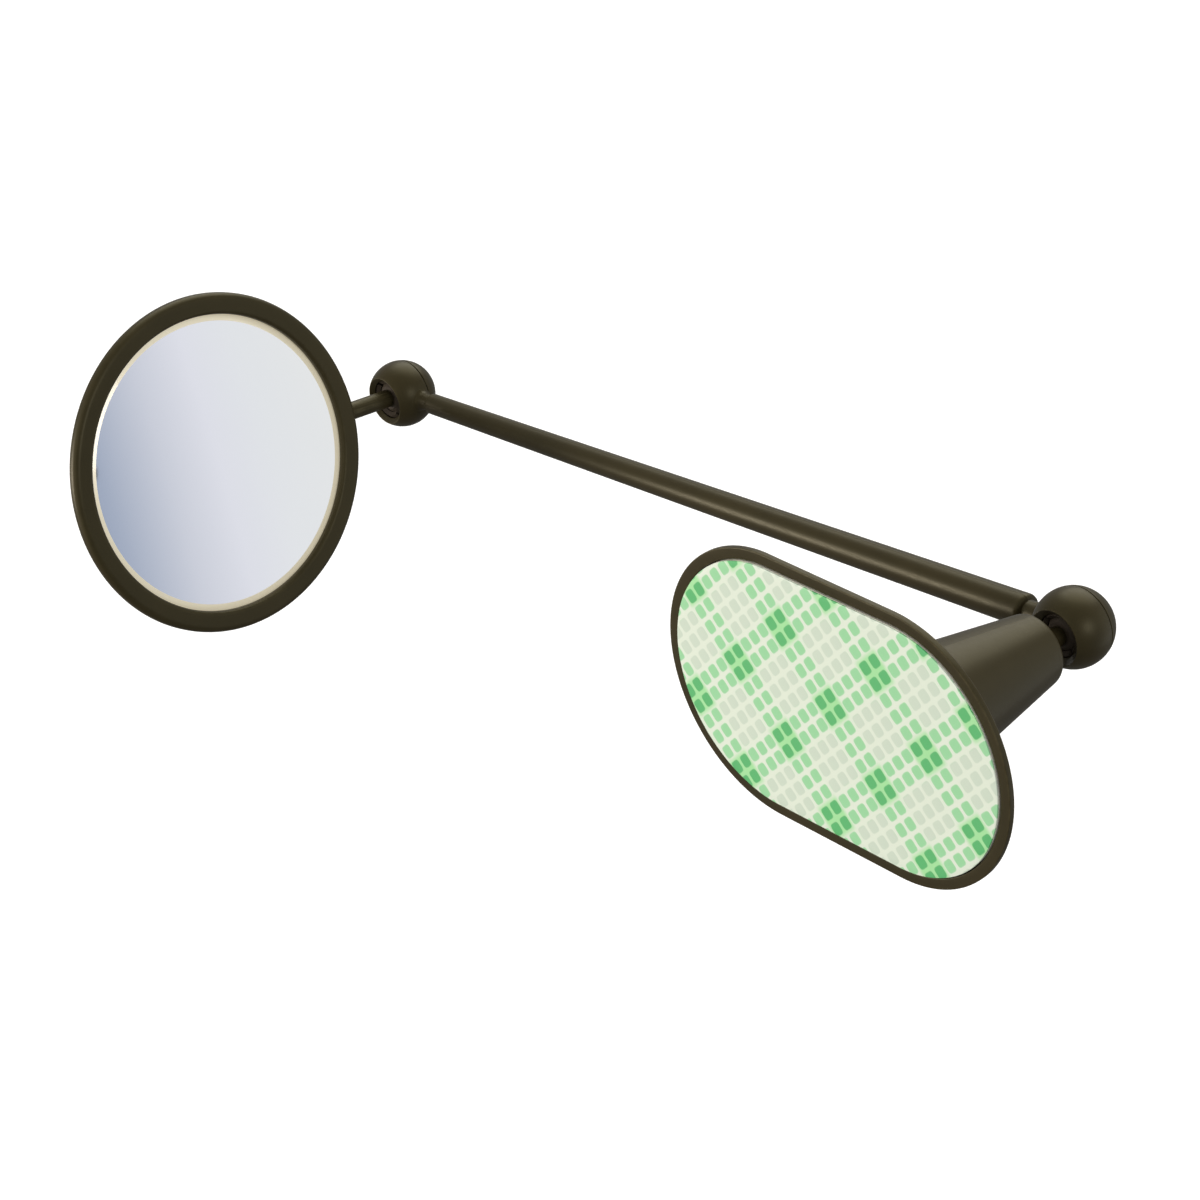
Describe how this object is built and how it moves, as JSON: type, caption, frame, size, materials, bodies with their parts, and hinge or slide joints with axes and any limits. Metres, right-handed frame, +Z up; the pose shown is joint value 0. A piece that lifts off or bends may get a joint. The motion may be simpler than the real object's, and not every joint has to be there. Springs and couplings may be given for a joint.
{
  "type": "helmet mirror",
  "caption": "Round convex mirror on a slim tapered arm with a ball joint at each end, on a tape-backed pad with a conical post.",
  "frame": {"origin": "centre of the release liner's outer face, where the pad sits on the helmet", "axes": "+X along the pad towards the end that carries the post, +Y out of the pad along the post, +Z up"},
  "size_m": [0.1224, 0.0499, 0.0371],
  "materials": {
    "moulded_plastic": "satin moulded nylon, dark olive brown",
    "joint_nylon": "self-lubricating nylon",
    "steel": "plated steel",
    "mirror_glass": "silvered convex glass with a bevelled edge",
    "foam": "closed-cell acrylic foam tape",
    "liner_paper": "glazed paper with a printed green check"
  },
  "bodies": {
    "base": {"foam_tape": "foam", "base_plate": "moulded_plastic", "post": "moulded_plastic", "post_screw": "steel", "base_pivot_screw": "steel", "base_spring_washer": "steel"},
    "liner": {"release_liner": "liner_paper"},
    "base_swivel_ball": {"base_ball": "joint_nylon"},
    "base_tilt_cup": {"base_friction_cup": "joint_nylon"},
    "arm": {"base_socket": "moulded_plastic", "base_socket_cap": "moulded_plastic", "arm_rod": "moulded_plastic", "mirror_socket": "moulded_plastic", "mirror_socket_cap": "moulded_plastic"},
    "mirror_roll_cup": {"mirror_friction_cup": "joint_nylon"},
    "mirror_tilt_ball": {"mirror_ball": "joint_nylon"},
    "mirror_head": {"mirror_pivot_screw": "steel", "mirror_spring_washer": "steel", "mirror_housing": "moulded_plastic", "mirror_bezel": "moulded_plastic", "mirror_foam_pad": "foam", "mirror_glass": "mirror_glass"}
  },
  "joints": [
    {"name": "liner_peel", "type": "slide", "parent": "base", "child": "liner", "axis": [0, -1, 0], "range_m": [0, 0.03]},
    {"name": "base_swivel", "type": "hinge", "parent": "base", "child": "base_swivel_ball", "pos_m": [0.00565, 0.0263, 0], "axis": [0, 1, 0], "continuous": true},
    {"name": "base_tilt", "type": "hinge", "parent": "base_swivel_ball", "child": "base_tilt_cup", "pos_m": [0.00565, 0.0263, 0], "axis": [-0.0785, 0, 0.9969], "range_deg": [-18.2, 17.8]},
    {"name": "base_roll", "type": "hinge", "parent": "base_tilt_cup", "child": "arm", "pos_m": [0.00565, 0.0263, 0], "axis": [0.9969, 0.0035, 0.0785], "range_deg": [-18, 18]},
    {"name": "mirror_roll", "type": "hinge", "parent": "arm", "child": "mirror_roll_cup", "pos_m": [-0.09564, 0.02594, -0.00797], "axis": [0.9969, 0.0035, 0.0785], "range_deg": [-13.3, 22.7]},
    {"name": "mirror_tilt", "type": "hinge", "parent": "mirror_roll_cup", "child": "mirror_tilt_ball", "pos_m": [-0.09564, 0.02594, -0.00797], "axis": [-0.0785, 0.0819, 0.9935], "range_deg": [-18, 18]},
    {"name": "mirror_spin", "type": "hinge", "parent": "mirror_tilt_ball", "child": "mirror_head", "pos_m": [-0.09564, 0.02594, -0.00797], "axis": [0.003, 0.9966, -0.082], "continuous": true}
  ]
}
